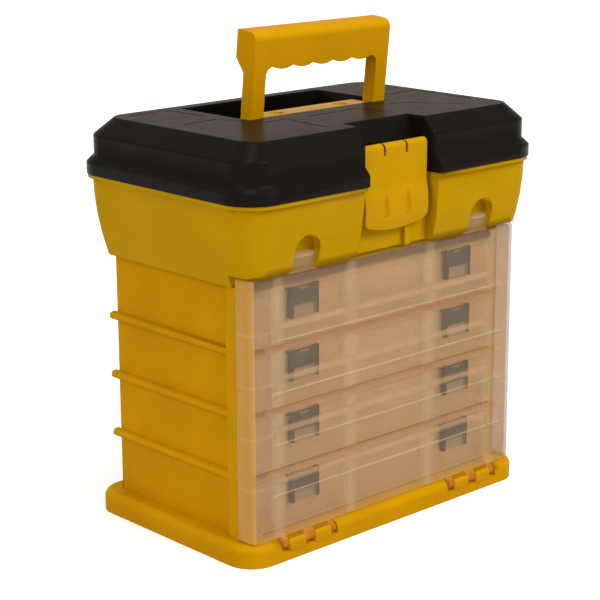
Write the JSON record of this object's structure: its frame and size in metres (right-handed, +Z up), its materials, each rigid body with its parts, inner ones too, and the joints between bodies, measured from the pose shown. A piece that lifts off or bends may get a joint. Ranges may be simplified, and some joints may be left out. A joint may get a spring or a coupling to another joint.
{
  "type": "compartment storage box",
  "caption": "Rack tool box with lift-out organiser boxes behind a drop-down see-through door, a flared top bin, a latched hinged lid and a folding carrying handle.",
  "frame": {"origin": "middle of the face that the base stands on", "axes": "+X to the right along the front, +Y to the back, +Z up"},
  "size_m": [0.2804, 0.1895, 0.3413],
  "materials": {
    "yellow_plastic": "satin moulded",
    "black_plastic": "fine grained",
    "hinge_steel": "drawn wire",
    "milky_plastic": "milky see-through",
    "clear_plastic": "clear moulded",
    "dark_plastic": "satin moulded"
  },
  "bodies": {
    "case": {"base_plinth": "yellow_plastic", "side_panel_left": "yellow_plastic", "side_panel_right": "yellow_plastic", "back_panel": "yellow_plastic", "top_bin": "yellow_plastic", "lid_hinge_pin_left": "hinge_steel", "lid_hinge_pin_right": "hinge_steel"},
    "lid": {"lid": "black_plastic", "handle_retainer": "yellow_plastic", "latch_pin": "hinge_steel"},
    "latch": {"latch": "yellow_plastic"},
    "handle": {"carry_handle": "yellow_plastic"},
    "door": {"front_door": "milky_plastic"},
    "box_1": {"box_1_tray": "clear_plastic", "box_1_lid": "clear_plastic", "box_1_dividers": "clear_plastic"},
    "box_1_latch_left": {"box_1_latch_left": "dark_plastic"},
    "box_1_latch_right": {"box_1_latch_right": "dark_plastic"},
    "box_2": {"box_2_tray": "clear_plastic", "box_2_lid": "clear_plastic", "box_2_dividers": "clear_plastic"},
    "box_2_latch_left": {"box_2_latch_left": "dark_plastic"},
    "box_2_latch_right": {"box_2_latch_right": "dark_plastic"},
    "box_3": {"box_3_tray": "clear_plastic", "box_3_lid": "clear_plastic", "box_3_dividers": "clear_plastic"},
    "box_3_latch_left": {"box_3_latch_left": "dark_plastic"},
    "box_3_latch_right": {"box_3_latch_right": "dark_plastic"},
    "box_4": {"box_4_tray": "clear_plastic", "box_4_lid": "clear_plastic", "box_4_dividers": "clear_plastic"},
    "box_4_latch_left": {"box_4_latch_left": "dark_plastic"},
    "box_4_latch_right": {"box_4_latch_right": "dark_plastic"}
  },
  "joints": [
    {"name": "lid_hinge", "type": "hinge", "parent": "case", "child": "lid", "pos_m": [0, 0.0935, 0.245], "axis": [-1, 0, 0], "range_deg": [0, 105]},
    {"name": "latch_hinge", "type": "hinge", "parent": "lid", "child": "latch", "pos_m": [0, -0.0786, 0.2644], "axis": [-1, 0, 0], "range_deg": [0, 100]},
    {"name": "handle_fold", "type": "hinge", "parent": "lid", "child": "handle", "pos_m": [0, -0.0027, 0.2762], "axis": [-1, 0, 0], "range_deg": [0, 96]},
    {"name": "door_hinge", "type": "hinge", "parent": "case", "child": "door", "pos_m": [0, -0.0812, 0.0113], "axis": [1, 0, 0], "range_deg": [0, 92]},
    {"name": "box_1_slide", "type": "slide", "parent": "case", "child": "box_1", "axis": [0, -1, 0], "range_m": [0, 0.017]},
    {"name": "box_1_latch_left_hinge", "type": "hinge", "parent": "box_1", "child": "box_1_latch_left", "pos_m": [-0.0744, -0.0701, 0.0527], "axis": [-1, 0, 0], "range_deg": [0, 81]},
    {"name": "box_1_latch_right_hinge", "type": "hinge", "parent": "box_1", "child": "box_1_latch_right", "pos_m": [0.0744, -0.0701, 0.0527], "axis": [-1, 0, 0], "range_deg": [0, 81]},
    {"name": "box_2_slide", "type": "slide", "parent": "case", "child": "box_2", "axis": [0, -1, 0], "range_m": [0, 0.09]},
    {"name": "box_2_latch_left_hinge", "type": "hinge", "parent": "box_2", "child": "box_2_latch_left", "pos_m": [-0.0744, -0.0701, 0.0954], "axis": [-1, 0, 0], "range_deg": [0, 81]},
    {"name": "box_2_latch_right_hinge", "type": "hinge", "parent": "box_2", "child": "box_2_latch_right", "pos_m": [0.0744, -0.0701, 0.0954], "axis": [-1, 0, 0], "range_deg": [0, 81]},
    {"name": "box_3_slide", "type": "slide", "parent": "case", "child": "box_3", "axis": [0, -1, 0], "range_m": [0, 0.1]},
    {"name": "box_3_latch_left_hinge", "type": "hinge", "parent": "box_3", "child": "box_3_latch_left", "pos_m": [-0.0744, -0.0701, 0.1381], "axis": [-1, 0, 0], "range_deg": [0, 81]},
    {"name": "box_3_latch_right_hinge", "type": "hinge", "parent": "box_3", "child": "box_3_latch_right", "pos_m": [0.0744, -0.0701, 0.1381], "axis": [-1, 0, 0], "range_deg": [0, 81]},
    {"name": "box_4_slide", "type": "slide", "parent": "case", "child": "box_4", "axis": [0, -1, 0], "range_m": [0, 0.1]},
    {"name": "box_4_latch_left_hinge", "type": "hinge", "parent": "box_4", "child": "box_4_latch_left", "pos_m": [-0.0744, -0.0701, 0.1808], "axis": [-1, 0, 0], "range_deg": [0, 81]},
    {"name": "box_4_latch_right_hinge", "type": "hinge", "parent": "box_4", "child": "box_4_latch_right", "pos_m": [0.0744, -0.0701, 0.1808], "axis": [-1, 0, 0], "range_deg": [0, 81]}
  ],
  "couplings": [
    {"joint": "box_1_slide", "follows": "door_hinge", "m_per_rad": 0.01},
    {"joint": "box_1_latch_left_hinge", "follows": "door_hinge", "ratio": 0.87},
    {"joint": "box_1_latch_right_hinge", "follows": "door_hinge", "ratio": 0.87},
    {"joint": "box_2_slide", "follows": "door_hinge", "m_per_rad": 0.055},
    {"joint": "box_2_latch_left_hinge", "follows": "door_hinge", "ratio": 0.87},
    {"joint": "box_2_latch_right_hinge", "follows": "door_hinge", "ratio": 0.87},
    {"joint": "box_3_slide", "follows": "door_hinge", "m_per_rad": 0.061},
    {"joint": "box_3_latch_left_hinge", "follows": "door_hinge", "ratio": 0.87},
    {"joint": "box_3_latch_right_hinge", "follows": "door_hinge", "ratio": 0.87},
    {"joint": "box_4_slide", "follows": "door_hinge", "m_per_rad": 0.061},
    {"joint": "box_4_latch_left_hinge", "follows": "door_hinge", "ratio": 0.87},
    {"joint": "box_4_latch_right_hinge", "follows": "door_hinge", "ratio": 0.87}
  ]
}
